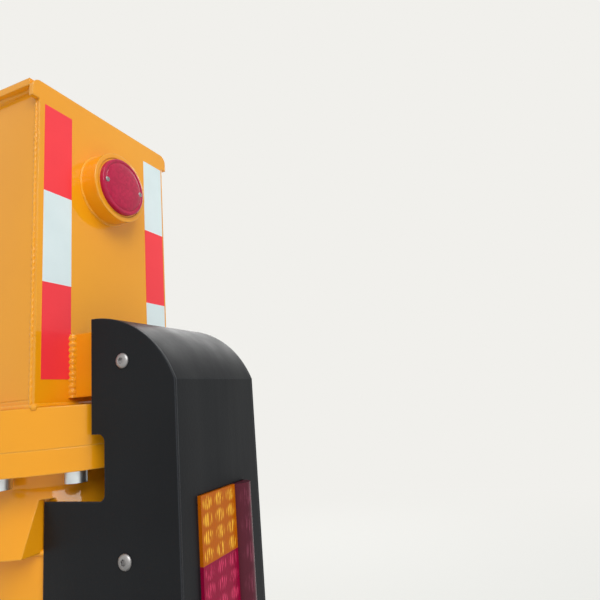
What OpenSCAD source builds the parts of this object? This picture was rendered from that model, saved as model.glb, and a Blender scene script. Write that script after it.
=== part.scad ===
// Rear swing outrigger of a truck-mounted concrete pump, near (left) side.
// Millimetres. +X is the truck's rear, -Y its outer left side, +Z up.
// The origin is the centre of the four bolts that hold the pivot bracket to the chassis.
// The arm is modelled along +X from its own pivot axis, folded back beside the truck.

/* [Beam] */
// Distance from the pivot axis to the rear face of the end plate
arm_l = 2500; // [2200:10:3000]
// Width over the two side plates
beam_w = 309; // [290:1:340]
// Height of the beam at the pivot, over the top and bottom plates
hub_h = 600; // [560:2:700]
// Height of the end plate, from the bolted flange to the top
end_h = 528; // [500:2:540]
// Thickness of the side plates
side_t = 10; // [8:1:14]
// Thickness of the top and bottom plates
skin_t = 12; // [8:1:16]
// How far the top and bottom plates stand out past the side plates
skin_over = 13; // [4:1:16]
// Thickness of the end plate
end_t = 8; // [6:1:14]
// Height of the end plate's wings over the top plate's ends
wing_h = 32; // [24:1:50]
// Radius of the wings' corners
wing_r = 15; // [8:1:20]
// Distance from the pivot at which the bottom plate starts to rise
taper_start = 900; // [700:10:1100]
// Length of the level stretch of the bottom plate before the rear face
level_l = 600; // [560:10:900]

/* [Pivot] */
// Radius of the vertical pivot pin
pin_r = 60; // [45:1:70]
// Wall of the two bushes round the pin
bush_wall = 12; // [8:1:16]
// Length of each bush inside the hub
bush_l = 130; // [80:5:200]
// Wall of the hub between the two bushes
hub_wall = 25; // [16:1:40]
// Radius of the top and bottom plates round the hub
hub_skin_r = 165; // [160:1:175]
// Thickness of the thrust washer between hub and lug
washer_t = 5.7; // [4:0.1:8]
// Running gap over each thrust washer
washer_gap = 0.3; // [0.2:0.1:0.5]
// Radial running clearance of pins in their bores
pin_fit = 0.08; // [0.04:0.01:0.1]

/* [Bracket] */
// Distance from the bolted face to the pivot axis
pivot_x = 260; // [230:5:320]
// Distance of the pivot axis outwards from the bolt centre
pivot_out = 125; // [100:5:150]
// Thickness of the bolted plate
base_t = 30; // [20:1:40]
// Spacing of the bolts across
bolt_dy = 530; // [520:5:540]
// Height of the bolts over the upper lug, and below the lower one
bolt_over = 64; // [54:1:80]
// Distance of the bolts from the plate's sides
bolt_edge_y = 45; // [35:1:60]
// Distance of the bolts from the plate's top and foot
bolt_edge_z = 50; // [46:1:60]
// Radius of the chassis bolt holes
bolt_hole_r = 17; // [13:0.5:20]
// Thickness of the pivot lugs
lug_t = 40; // [30:1:50]
// Radius of the lugs round the pin
lug_r = 140; // [120:1:150]
// Thickness of the gussets
gusset_t = 16; // [10:1:20]
// Height of the gussets
gusset_h = 90; // [60:1:100]

/* [Swing cylinder] */
// Inward distance of the cylinder's fixed pin from the pivot axis
cyl_fix_y = 324; // [310:1:335]
// Rearward distance of the cylinder's fixed pin from the pivot axis
cyl_fix_x = 80; // [60:1:100]
// Distance of the rod's pin from the pivot, along the beam
cyl_rod_x = 870; // [850:5:900]
// Distance of the rod's pin inwards from the beam's centre
cyl_rod_y = 250; // [240:1:260]
// Outer radius of the cylinder's barrel
barrel_r = 44; // [38:1:46]
// Radius of the chromed rod
rod_r = 22; // [18:1:28]
// Radius of the cylinder's pins
cyl_pin_r = 22; // [18:1:25]
// Radius of the eyes at both ends of the cylinder
eye_r = 42; // [36:1:46]
// Height of the eyes
eye_h = 64; // [50:1:70]
// Gap between an eye and each ear beside it
eye_gap = 0.4; // [0.3:0.1:0.8]
// Thickness of the ears
ear_t = 25; // [18:1:32]
// Length of rod that shows when the arm is folded
rod_show = 71; // [60:1:100]
// Half of the ears' width where they are welded on
ear_root_w = 90; // [70:1:100]
// Length of the piston
piston_l = 40; // [30:1:60]

/* [Bolted flange] */
// Thickness of the flange welded under the beam
flange_t = 60; // [44:1:70]
// Thickness of the flange on the jack leg
leg_flange_t = 35; // [28:1:40]
// How far the flange stands out past the rear face
flange_rear = 62; // [56:1:66]
// How far the flange reaches forward of the rear face
flange_front = 307; // [295:1:320]
// Width of the flange outside the ring of bolts, at its sides
flange_land_w = 17; // [15:1:25]
// Width of the flange outside the ring of bolts, at its rear corners
flange_corner_w = 28; // [26:1:36]
// Chamfer on the flange's front corners
flange_chamfer = 50; // [30:1:60]
// Distance of the flange bolts' ring from the collar's neck
bolt_room_w = 26; // [24:0.5:28]
// Radius of the flange bolts' shanks
flange_bolt_r = 10; // [9:1:12]
// Height of the bolt heads
bolt_head_h = 18; // [14:1:20]
// Radius of the bolt heads
bolt_head_r = 16; // [14:0.5:17]
// Width across the flats of the socket in each bolt head
socket_af = 17; // [14:1:19]

/* [Jack leg] */
// Distance of the jack's axis forward of the rear face
jack_back = 105; // [104:1:108]
// Radius of the outer tube
tube_r = 129; // [124:1:130]
// Wall of the outer tube
tube_wall = 12; // [8:1:16]
// Height of the flared collar under the flange
collar_h = 114; // [90:1:124]
// Height of the collar's straight neck, under the flange
collar_neck_h = 22; // [20:1:28]
// Wall of the collar's neck
collar_wall = 3; // [2:0.5:4]
// Width of the collar's foot outside the tube
collar_flare_w = 33; // [20:1:37]
// Length of the outer tube below the flange
tube_l = 690; // [640:5:740]
// Height of the gap between the guard's foot and the sleeve at the tube's foot
sleeve_gap = 8; // [6:1:20]
// Wall of the sleeve
sleeve_wall = 11; // [8:1:14]
// Thickness of the gland ring
gland_t = 12; // [8:1:16]
// Room between the outer tube's bore and the sliding inner tube
leg_room_w = 19; // [14:1:26]
// Wall of the sliding inner tube
leg_wall = 14; // [10:1:18]
// Radial clearance of the sliding fits
slide_fit = 0.3; // [0.2:0.1:0.5]
// Height of the guide ring on the inner tube
guide_h = 60; // [40:1:80]

/* [Foot] */
// Radius of the foot's sole
foot_r = 220; // [190:5:250]
// Height of the foot from the sole to the ring's top
foot_h = 120; // [108:1:130]
// Thickness of the sole at its edge
sole_t = 22; // [16:1:28]
// Radius of the foot's top ring
ring_r = 94; // [86:1:98]
// Thickness of the top ring
ring_t = 16; // [12:1:20]
// Radius of the ball
ball_r = 42; // [36:1:46]
// Radius of the neck over the ball
neck_r = 24; // [20:1:26]
// Gap between the leg and the foot's ring
foot_gap = 16; // [14:1:24]

/* [Lamp guard] */
// Width of the guard over its side sheets
guard_w = 221; // [218:1:240]
// Thickness of the guard's sheet
guard_t = 4; // [3:1:6]
// Height of the guard
guard_h = 774; // [700:2:790]
// Height of the guard's top over the beam's flange
guard_up = 126; // [110:1:134]
// Distance of the guard's back from the end plate
guard_back_x = 215; // [205:1:225]
// Front edge of the guard's upper part, from the end plate
guard_front_x = 65; // [65:1:74]
// Radius of the rolled top
roll_r = 161; // [155:1:165]
// Depth of the notch for the flange, from the end plate
notch_x = 89; // [80:1:94]
// Gap between the jack's tube and the front edges of the guard's lower part
guard_tube_w = 2.5; // [2:0.5:10]
// Corner radius of the notch and of the guard's foot
notch_r = 11; // [6:1:14]
// Distance of the guard's fixing screws from the end plate
stay_x = 124; // [115:1:135]
// Radius of the bars between the guard's side sheets
bar_r = 13; // [10:1:16]
// Distance of the two upper stay plates from the guard's middle
stay_y = 77; // [60:1:90]
// Thickness of the stay plates
stay_t = 8; // [6:1:12]
// Height of the upper stay plates over the bar's axis
stay_up = 55; // [45:1:60]
// Depth of the upper stay plates below the bar's axis
stay_down = 45; // [30:1:50]
// Height of the lower stay plate
low_stay_h = 62; // [40:1:80]

/* [Lamp] */
// Height of the lamp
lamp_h = 366; // [320:2:400]
// Width of the lamp
lamp_w = 128; // [110:1:134]
// Distance of the lamp's top below the guard's top
lamp_down = 265; // [240:1:290]
// Distance of the lamp's outer edge from the guard's outer side
lamp_in = 43; // [34:1:50]
// How far the lenses stand out of the guard
lens_out = 5; // [3:1:10]
// Width of the side marker at the lamp's inner side
strip_w = 36; // [24:1:42]
// How far the side marker stands out of the guard before its round front
strip_out = 2; // [1:1:8]

/* [Reflector] */
// Radius of the reflector's cup
cup_r = 63; // [58:1:70]
// Length of the cup
cup_l = 32; // [25:1:45]
// Radius of the reflector's lens
refl_r = 54; // [50:1:56]
// How far the lens stands out of the cup
refl_out = 7; // [3:1:10]
// Height of the reflector's centre over the flange
refl_z = 386; // [360:1:400]

/* [Pipes and hose] */
// Radius of the hydraulic pipes
pipe_r = 8; // [6:1:10]
// Bend radius of the pipes
pipe_bend = 30; // [24:1:36]
// Length of the pipes' straight run
pipe_run = 200; // [160:5:230]
// Depth of the run's middle below the pivot's middle
pipe_down = 37; // [20:1:60]
// Distance of the rear pipe from the end plate
pipe_back = 474; // [450:2:500]
// Distance between the two pipes
pipe_gap = 132; // [100:2:160]
// Radius of the jack's hose
hose_r = 9; // [7:1:9]
// Bend radius of the hose under the beam
hose_bend = 74; // [72:1:84]

/* [Hidden] */
$fn = 96;
FINE = 160;
weld_gap = 0.05;
half_w = beam_w / 2;
hub_r = half_w - side_t - weld_gap;
pivot_y = -pivot_out;
z_top = hub_h / 2;
z_low = -z_top;
z_flange = z_top - end_h;
lug_z = z_top + washer_t + washer_gap;
bush_r = pin_r + bush_wall;
web_top = z_top - skin_t;
body_l = arm_l - end_t;
taper_end = arm_l - level_l;

bolt_dz = 2 * (lug_z + lug_t + bolt_over);
base_h = bolt_dz + 2 * bolt_edge_z;
base_w = bolt_dy + 2 * bolt_edge_y;

flange_x0 = arm_l - flange_front;
flange_x1 = arm_l + flange_rear;
leg_flange_z = z_flange - flange_t;
leg_top_z = leg_flange_z - leg_flange_t;
jack_x = arm_l - jack_back;
jack_y = 0;
collar_top_r = tube_r + collar_wall;
collar_foot_r = tube_r + collar_flare_w;
bolt_ring_r = collar_top_r + bolt_room_w;
flange_half = bolt_ring_r + flange_land_w;
flange_r = bolt_ring_r + flange_corner_w;
leg_r = tube_r - tube_wall - leg_room_w;
jack_bore_r = tube_r - tube_wall;
tube_foot_z = leg_top_z - tube_l;
collar_foot_z = leg_top_z - collar_h;
leg_foot_z = tube_foot_z - gland_t - 4;
leg_cap_t = 14;
leg_head_z = z_flange - 15;
guide_top_z = leg_head_z - 10;
ring_top_z = leg_foot_z - foot_gap;
ball_mouth = 20;
ball_z = ring_top_z - ring_t - ball_mouth;
ring_bore_r = sqrt(ball_r * ball_r - ball_mouth * ball_mouth) + slide_fit;
sole_z = ring_top_z - foot_h;

guard_y0 = jack_y - guard_w / 2;
guard_y1 = guard_y0 + guard_w;
guard_z = z_flange + guard_up;
guard_foot_z = guard_z - guard_h;
roll_z = guard_z - roll_r;
guard_low_x = sqrt(pow(tube_r + guard_tube_w, 2) - pow(guard_w / 2 - guard_t, 2)) - jack_back;
roll_span = guard_back_x - guard_front_x;
bend_z = roll_z + sqrt(roll_r * roll_r - roll_span * roll_span);
notch_top_h = 45;
notch_low_h = 43;
notch_top_z = z_flange - notch_top_h;
notch_low_z = leg_top_z - notch_low_h;
sleeve_h = guard_foot_z - sleeve_gap - tube_foot_z;
stay_over_h = 57;
stay_z = z_flange + stay_over_h;
low_stay_z = collar_foot_z - 6;
guard_free = 4;
lamp_y = guard_y0 + lamp_in;
lamp_z = guard_z - lamp_down;
lamp_back = 38;
lamp_lip = 11;
amber_h = lamp_h / 4;
window_gap = 1;
lamp_x = guard_back_x - guard_t;

cyl_dx = cyl_rod_x - cyl_fix_x;
cyl_dy = cyl_rod_y - cyl_fix_y;
cyl_len = sqrt(cyl_dx * cyl_dx + cyl_dy * cyl_dy);
cyl_turn = atan2(cyl_dy, cyl_dx);
ear_z = eye_h / 2 + eye_gap;
barrel_wall = 9;
gland_l = 20;
barrel_start = eye_r + 8;
barrel_l = cyl_len - gland_l - eye_r - rod_show;
piston_x = 200;

refl_y = -5.5;
cup_floor = 6;

hose_z = leg_top_z - bolt_head_h - hose_r - 2;
hose_drop = leg_top_z - hose_z + hose_r - collar_neck_h;
collar_at_hose = collar_top_r
  + (collar_foot_r - collar_top_r) * hose_drop / (collar_h - collar_neck_h);
hose_ring_r = collar_at_hose + hose_r + 4;
hose_y = jack_y + hose_ring_r;
hose_start = 66;
nut_af = 2 * hose_r + 4;
hose_foot_x = flange_x0 - hose_bend;
union_h = 20;

bolt_angles = [37.5, 76, 128, 165];
bolt_spots = [
  for (side = [-1, 1], turn = bolt_angles)
    [jack_x + bolt_ring_r * cos(turn), jack_y + side * bolt_ring_r * sin(turn)]
];

PAINT = "#E9A227";
BLACK = "#1E1F24";
ZINC = "#C9CCCE";
CHROME = "#DDE0E2";
STEEL = "#8E9296";
BRONZE = "#A97C3B";

// Places a piece of the arm on the pivot axis
module on_pivot() {
  translate([pivot_x, pivot_y, 0]) children();
}

// Places a piece of the swing cylinder, which is modelled along +X from its fixed pin
module on_cylinder() {
  translate([pivot_x + cyl_fix_x, pivot_y + cyl_fix_y, 0]) rotate([0, 0, cyl_turn]) children();
}

// Extrudes an outline drawn in X and Z along +Y
module slab(y0, t) {
  translate([0, y0 + t, 0]) rotate([90, 0, 0]) linear_extrude(t) children();
}

// Hexagon across its flats
module hex(af, h) {
  cylinder(r = af / sqrt(3), h = h, $fn = 6);
}

module base_plate() {
  color(PAINT)
    difference() {
      translate([0, -base_w / 2, -base_h / 2]) cube([base_t, base_w, base_h]);
      for (y = [-1, 1], z = [-1, 1])
        translate([-1, y * bolt_dy / 2, z * bolt_dz / 2])
          rotate([0, 90, 0]) cylinder(r = bolt_hole_r, h = base_t + 2);
    }
}

// Flat lug from the bolted plate out round the pin
module pivot_lug(z0) {
  color(PAINT)
    difference() {
      union() {
        translate([pivot_x, pivot_y, z0]) cylinder(r = lug_r, h = lug_t, $fn = FINE);
        translate([base_t, pivot_y - lug_r, z0]) cube([pivot_x - base_t, 2 * lug_r, lug_t]);
      }
      translate([pivot_x, pivot_y, z0 - 1])
        cylinder(r = pin_r + weld_gap, h = lug_t + 2, $fn = FINE);
    }
}

module lug_top() pivot_lug(lug_z);

module lug_bottom() pivot_lug(-lug_z - lug_t);

// Triangular gusset between the bolted plate and a lug
module gusset(up) {
  color(PAINT)
    mirror([0, 0, up > 0 ? 0 : 1])
      slab(pivot_y - gusset_t / 2, gusset_t)
        polygon([
          [base_t, lug_z + lug_t],
          [pivot_x - pin_r - 40, lug_z + lug_t],
          [pivot_x - pin_r - 40, lug_z + lug_t + 12],
          [base_t + 20, lug_z + lug_t + gusset_h],
          [base_t, lug_z + lug_t + gusset_h]
        ]);
}

module gusset_top() gusset(1);

module gusset_bottom() gusset(-1);

module pivot_pin() {
  head_r = pin_r + 20;
  head_t = 14;
  color(STEEL)
    on_pivot() {
      translate([0, 0, -lug_z - lug_t - 8]) cylinder(r = pin_r, h = 2 * (lug_z + lug_t) + 8, $fn = FINE);
      translate([0, 0, lug_z + lug_t]) cylinder(r = head_r, h = head_t);
    }
}

// Flat ear on the bolted plate for the swing cylinder's fixed pin
module cyl_ear(z0) {
  x = pivot_x + cyl_fix_x;
  y = pivot_y + cyl_fix_y;
  color(PAINT)
    translate([0, 0, z0])
      difference() {
        union() {
          translate([x, y, 0]) cylinder(r = eye_r, h = ear_t);
          linear_extrude(ear_t)
            polygon([[base_t, y - ear_root_w], [base_t, y + ear_root_w], [x, y + eye_r], [x, y - eye_r]]);
        }
        translate([x, y, -1]) cylinder(r = cyl_pin_r + pin_fit, h = ear_t + 2);
      }
}

module cyl_ear_top() cyl_ear(ear_z);

module cyl_ear_bottom() cyl_ear(-ear_z - ear_t);

module cyl_pin() {
  reach = ear_z + ear_t;
  color(STEEL)
    translate([pivot_x + cyl_fix_x, pivot_y + cyl_fix_y, 0]) {
      translate([0, 0, -reach]) cylinder(r = cyl_pin_r, h = 2 * reach);
      for (z = [-reach - 8, reach]) translate([0, 0, z]) cylinder(r = cyl_pin_r + 8, h = 8);
    }
}

// Side plate of the box beam, deeper at the pivot, between the top and the bottom plate
module side_plate(y0) {
  color(PAINT)
    on_pivot()
      slab(y0, side_t)
        polygon([
          [0, web_top], [body_l, web_top], [body_l, z_flange + skin_t],
          [taper_end, z_flange + skin_t], [taper_start, z_low + skin_t], [0, z_low + skin_t]
        ]);
}

module side_outer() side_plate(-half_w);

module side_inner() side_plate(half_w - side_t);

module top_plate() {
  edge = half_w + skin_over;
  color(PAINT)
    on_pivot()
      translate([0, 0, web_top])
        difference() {
          union() {
            cylinder(r = hub_skin_r, h = skin_t, $fn = FINE);
            translate([0, -edge, 0]) cube([body_l, 2 * edge, skin_t]);
          }
          translate([0, 0, -1]) cylinder(r = hub_r + weld_gap, h = skin_t + 2, $fn = FINE);
        }
}

// Bottom plate, which stands out past the sides up to the flange and is flush with them over it
module bottom_plate() {
  edge = half_w + skin_over;
  color(PAINT)
    on_pivot()
      difference() {
        union() {
          translate([0, 0, z_low]) cylinder(r = hub_skin_r, h = skin_t, $fn = FINE);
          slab(-edge, 2 * edge)
            polygon([
              [0, z_low], [taper_start, z_low], [taper_end, z_flange], [flange_x0, z_flange],
              [flange_x0, z_flange + skin_t], [taper_end, z_flange + skin_t],
              [taper_start, z_low + skin_t], [0, z_low + skin_t]
            ]);
          translate([flange_x0 - 1, -half_w, z_flange]) cube([body_l - flange_x0 + 1, beam_w, skin_t]);
        }
        translate([0, 0, z_low - 1]) cylinder(r = hub_r + weld_gap, h = skin_t + 2, $fn = FINE);
      }
}

// Rear face of the end box, with wings that cover the ends of the top plate
module end_outline() {
  edge = half_w + skin_over;
  translate([-half_w, z_flange]) square([beam_w, end_h - wing_r]);
  translate([-edge, z_top - wing_h]) square([2 * edge, wing_h - wing_r]);
  translate([-edge + wing_r, z_top - wing_h]) square([2 * (edge - wing_r), wing_h]);
  for (s = [-1, 1]) translate([s * (edge - wing_r), z_top - wing_r]) circle(wing_r);
}

module end_plate() {
  color(PAINT)
    on_pivot()
      translate([body_l, 0, 0]) rotate([90, 0, 90]) linear_extrude(end_t) end_outline();
}

module hub_tube() {
  color(PAINT)
    on_pivot()
      translate([0, 0, z_low])
        difference() {
          cylinder(r = hub_r, h = hub_h, $fn = FINE);
          translate([0, 0, -1]) cylinder(r = bush_r + weld_gap, h = hub_h + 2, $fn = FINE);
          translate([0, 0, bush_l + 10])
            cylinder(r = hub_r - hub_wall, h = hub_h - 2 * bush_l - 20, $fn = FINE);
        }
}

// Flanged bush, whose flange runs against a lug of the bracket
module hub_bush() {
  color(BRONZE)
    difference() {
      union() {
        translate([0, 0, z_top - bush_l]) cylinder(r = bush_r, h = bush_l, $fn = FINE);
        translate([0, 0, z_top]) cylinder(r = bush_r + 25, h = washer_t, $fn = FINE);
      }
      translate([0, 0, z_top - bush_l - 1])
        cylinder(r = pin_r + pin_fit, h = bush_l + washer_t + 2, $fn = FINE);
    }
}

module hub_bush_top() on_pivot() hub_bush();

module hub_bush_bottom() on_pivot() mirror([0, 0, 1]) hub_bush();

// Outline of both flanges: rounded about the jack's axis at the rear, chamfered at the front
module flange_outline() {
  intersection() {
    translate([flange_x0, jack_y - flange_half]) square([flange_x1 - flange_x0, 2 * flange_half]);
    union() {
      translate([jack_x, jack_y]) circle(flange_r, $fn = FINE);
      polygon([
        [jack_x, jack_y - flange_half], [jack_x, jack_y + flange_half],
        [flange_x0 + flange_chamfer, jack_y + flange_half],
        [flange_x0, jack_y + flange_half - flange_chamfer],
        [flange_x0, jack_y - flange_half + flange_chamfer],
        [flange_x0 + flange_chamfer, jack_y - flange_half]
      ]);
    }
  }
}

module flange_plate(z0, t, hole_r, hole_top) {
  color(PAINT)
    on_pivot()
      difference() {
        translate([0, 0, z0]) linear_extrude(t) flange_outline();
        translate([jack_x, jack_y, z0 - 1]) cylinder(r = jack_bore_r, h = t + 2, $fn = FINE);
        for (p = bolt_spots)
          translate([p[0], p[1], z0 - 1]) cylinder(r = hole_r, h = hole_top + 1, $fn = 32);
      }
}

module beam_flange() flange_plate(leg_flange_z, flange_t, flange_bolt_r + weld_gap, flange_t - 12);

module leg_flange() flange_plate(leg_top_z, leg_flange_t, flange_bolt_r + 0.5, leg_flange_t + 1);

// Socket screw that holds the leg's flange up against the beam's flange
module flange_bolt(i) {
  shank_l = leg_flange_t + flange_t - 15;
  color(ZINC)
    on_pivot()
      translate([bolt_spots[i][0], bolt_spots[i][1], leg_top_z - bolt_head_h])
        difference() {
          union() {
            cylinder(r = bolt_head_r, h = bolt_head_h, $fn = 48);
            translate([0, 0, bolt_head_h / 2])
              cylinder(r = flange_bolt_r, h = shank_l + bolt_head_h / 2, $fn = 32);
          }
          translate([0, 0, -1]) rotate([0, 0, 37 * i]) hex(socket_af, bolt_head_h / 2 + 1);
        }
}

// Solid of the collar, down the jack's axis, from a given inner radius
module collar_body(inner, gap) {
  on_pivot()
    translate([jack_x, jack_y, collar_foot_z])
      rotate_extrude($fn = FINE)
        polygon([
          [inner, 0], [collar_foot_r + gap, 0], [collar_top_r + gap, collar_h - collar_neck_h],
          [collar_top_r + gap, collar_h], [inner, collar_h]
        ]);
}

// Flared collar over the top of the tube: its neck is inside the ring of bolts, and its foot
// is cut flat where the guard's side sheets pass
module jack_collar() {
  flat_y = guard_w / 2 - guard_t - guard_free;
  color(PAINT)
    difference() {
      collar_body(tube_r + weld_gap, 0);
      on_pivot()
        for (side = [0, 1])
          translate([jack_x, jack_y, 0])
            mirror([0, side, 0])
              translate([jack_back + guard_low_x - guard_free, flat_y, collar_foot_z - 1])
                cube([collar_foot_r, collar_foot_r, notch_low_z + guard_free - collar_foot_z + 1]);
    }
}

module jack_ring(z0, h, outer, inner) {
  on_pivot()
    translate([jack_x, jack_y, z0])
      difference() {
        cylinder(r = outer, h = h, $fn = FINE);
        translate([0, 0, -1]) cylinder(r = inner, h = h + 2, $fn = FINE);
      }
}

module jack_tube() color(PAINT) jack_ring(tube_foot_z, tube_l, tube_r, jack_bore_r);

module jack_sleeve() {
  color(PAINT) jack_ring(tube_foot_z, sleeve_h, tube_r + sleeve_wall, tube_r + weld_gap);
}

module jack_gland() {
  color(STEEL) jack_ring(tube_foot_z - gland_t, gland_t, tube_r + sleeve_wall - 3, leg_r + slide_fit);
}

// Open cup on the rear face that carries the round reflector
module reflector_cup() {
  color(PAINT)
    on_pivot()
      translate([arm_l, refl_y, z_flange + refl_z])
        rotate([0, 90, 0])
          difference() {
            cylinder(r = cup_r, h = cup_l);
            translate([0, 0, cup_floor]) cylinder(r = refl_r + 0.5, h = cup_l);
          }
}

module reflector_lens() {
  color("#A8203F")
    on_pivot()
      translate([arm_l + cup_floor, refl_y, z_flange + refl_z])
        rotate([0, 90, 0]) {
          cylinder(r = refl_r, h = cup_l - cup_floor);
          translate([0, 0, cup_l - cup_floor - 1]) cylinder(r = refl_r - 3, h = refl_out + 1);
        }
}

// Side outline of the lamp guard, with its rolled top and the notch round the flange
module guard_outline() {
  difference() {
    union() {
      intersection() {
        translate([guard_front_x, roll_z]) circle(roll_r, $fn = FINE);
        translate([guard_front_x, roll_z]) square([roll_span, roll_r]);
      }
      translate([guard_low_x, guard_foot_z + notch_r])
        square([guard_back_x - guard_low_x, roll_z - guard_foot_z - notch_r]);
      translate([guard_low_x, guard_foot_z])
        square([guard_back_x - guard_low_x - notch_r, roll_z - guard_foot_z]);
      translate([guard_back_x - notch_r, guard_foot_z + notch_r]) circle(notch_r);
    }
    translate([guard_low_x - 1, notch_low_z])
      square([guard_front_x - guard_low_x + 1, guard_z - notch_low_z]);
    translate([guard_low_x - 1, notch_low_z + notch_r])
      square([notch_x - guard_low_x + 1, notch_top_z - notch_low_z - 2 * notch_r]);
    translate([guard_low_x - 1, notch_low_z])
      square([notch_x - notch_r - guard_low_x + 1, notch_top_z - notch_low_z]);
    for (z = [notch_low_z + notch_r, notch_top_z - notch_r])
      translate([notch_x - notch_r, z]) circle(notch_r);
  }
}

module guard_side(y0) {
  color(BLACK)
    on_pivot()
      translate([arm_l, 0, 0]) slab(y0, guard_t) guard_outline();
}

module guard_side_outer() guard_side(guard_y0);

module guard_side_inner() guard_side(guard_y1 - guard_t);

// Back sheet of the guard: the rolled top, the flat back and the lamp's window
module guard_back() {
  color(BLACK)
    on_pivot()
      translate([arm_l, 0, 0])
        difference() {
          slab(guard_y0 + guard_t, guard_w - 2 * guard_t) {
            intersection() {
              difference() {
                translate([guard_front_x, roll_z]) circle(roll_r, $fn = FINE);
                translate([guard_front_x, roll_z]) circle(roll_r - guard_t, $fn = FINE);
              }
              translate([guard_front_x, bend_z]) square([roll_span, roll_r]);
            }
            translate([lamp_x, guard_foot_z + notch_r])
              square([guard_t, bend_z - guard_foot_z - notch_r]);
          }
          translate([lamp_x - 1, lamp_y - window_gap, lamp_z - lamp_h - window_gap])
            cube([guard_t + 2, lamp_w + 2 * window_gap, lamp_h + 2 * window_gap]);
        }
}

// Yellow bracket on the rear face: two upright plates and the bar that the guard is screwed to
module guard_stay_upper() {
  color(PAINT)
    on_pivot()
      translate([arm_l, 0, 0]) {
        for (y = [-stay_y - stay_t, stay_y])
          slab(y, stay_t)
            polygon([
              [0, stay_z - stay_down], [0, stay_z + stay_up], [guard_front_x - 16, stay_z + stay_up],
              [stay_x + 14, stay_z + stay_up - 40], [stay_x + 14, stay_z - stay_down]
            ]);
        guard_bar(stay_z);
      }
}

module guard_bar(z) {
  translate([stay_x, guard_y0 + guard_t, z])
    rotate([-90, 0, 0]) cylinder(r = bar_r, h = guard_w - 2 * guard_t);
}

// Lower bracket of the guard, welded to the jack's outer tube
module guard_stay_lower() {
  color(PAINT)
    on_pivot()
      difference() {
        translate([arm_l, 0, 0]) {
          slab(jack_y - stay_t / 2, stay_t)
            polygon([
              [0, collar_foot_z - low_stay_h], [0, collar_foot_z - 1],
              [stay_x, collar_foot_z - 1], [stay_x, low_stay_z - bar_r]
            ]);
          guard_bar(low_stay_z);
        }
        translate([jack_x, jack_y, collar_foot_z - low_stay_h - 1])
          cylinder(r = tube_r + weld_gap, h = low_stay_h + 1, $fn = FINE);
      }
}

// Lamp body behind the guard's back sheet, with a lip that bears on the sheet
module lamp_housing() {
  color(BLACK)
    on_pivot()
      translate([arm_l, 0, 0]) {
        translate([lamp_x - lamp_back, lamp_y, lamp_z - lamp_h]) cube([lamp_back, lamp_w, lamp_h]);
        translate([lamp_x - 4, lamp_y - lamp_lip, lamp_z - lamp_h - lamp_lip])
          cube([4, lamp_w + 2 * lamp_lip, lamp_h + 2 * lamp_lip]);
      }
}

// One lens of the lamp, from the housing out through the window
module lens(tint, y0, w, top, h) {
  color(tint)
    on_pivot()
      translate([arm_l + lamp_x, y0, top - h]) cube([guard_t + lens_out, w, h]);
}

module lamp_amber() lens("#D98A1A", lamp_y, lamp_w - strip_w, lamp_z, amber_h);

module lamp_red() lens("#A02050", lamp_y, lamp_w - strip_w, lamp_z - amber_h, 2 * amber_h);

module lamp_clear() lens("#C9CCCE", lamp_y, lamp_w - strip_w, lamp_z - 3 * amber_h, amber_h);

// Side marker, with a round front that stands out past the other lenses
module lamp_strip() {
  depth = guard_t + strip_out;
  color("#6A1836")
    on_pivot()
      translate([arm_l + lamp_x, lamp_y + lamp_w - strip_w, lamp_z - lamp_h])
        linear_extrude(lamp_h) {
          square([depth, strip_w]);
          intersection() {
            translate([depth, strip_w / 2]) circle(strip_w / 2);
            square([depth + strip_w, strip_w]);
          }
        }
}

// Hydraulic pipe on the beam's inner side: it comes out of the plate, runs down and goes back in
module pipe(x) {
  nut_h = 34;
  low = -pipe_run / 2 - pipe_down;
  high = low + pipe_run;
  color(PAINT)
    on_pivot()
      translate([x, half_w, 0]) {
        translate([0, pipe_bend, low]) cylinder(r = pipe_r, h = pipe_run, $fn = 48);
        translate([0, 0, high])
          rotate([0, -90, 0]) rotate_extrude(angle = 90) translate([pipe_bend, 0]) circle(pipe_r, $fn = 48);
        translate([0, 0, low])
          rotate([0, 90, 0]) rotate_extrude(angle = 90) translate([pipe_bend, 0]) circle(pipe_r, $fn = 48);
        translate([0, pipe_bend, high - 2 * nut_h]) hex(3 * pipe_r + 4, nut_h);
      }
}

module pipe_rear() pipe(arm_l - pipe_back);

module pipe_front() pipe(arm_l - pipe_back - pipe_gap);

// Black hose from the union under the beam, below the bolt heads and round the collar to its port
module jack_hose() {
  color("#18181A")
    on_pivot() {
      translate([jack_x, jack_y, hose_z])
        rotate([180, 0, 90])
          rotate_extrude(angle = 90 - hose_start) translate([hose_ring_r, 0]) circle(hose_r, $fn = 48);
      translate([hose_foot_x, hose_y, hose_z])
        rotate([0, 90, 0]) cylinder(r = hose_r, h = jack_x - hose_foot_x, $fn = 48);
      translate([hose_foot_x, hose_y, hose_z + hose_bend])
        rotate([90, 180, 0])
          rotate_extrude(angle = 90) translate([hose_bend, 0]) circle(hose_r, $fn = 48);
      translate([hose_foot_x - hose_bend, hose_y, hose_z + hose_bend])
        cylinder(r = hose_r, h = z_flange - union_h - hose_z - hose_bend, $fn = 48);
    }
}

module hose_union() {
  color(ZINC)
    on_pivot()
      translate([hose_foot_x - hose_bend, hose_y, z_flange - union_h]) hex(nut_af, union_h);
}

// Boss on the collar with the nut that the hose's end is screwed into
module hose_port() {
  nut_l = 24;
  color(ZINC)
    difference() {
      on_pivot()
        translate([jack_x, jack_y, hose_z])
          rotate([0, 0, hose_start])
            translate([hose_ring_r, 0, 0]) {
              rotate([90, 30, 0]) hex(nut_af, nut_l);
              translate([0, -nut_l / 2, 0])
                rotate([0, -90, 0]) cylinder(r = hose_r, h = hose_ring_r - tube_r, $fn = 48);
            }
      collar_body(tube_r - 1, weld_gap);
    }
}

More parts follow.
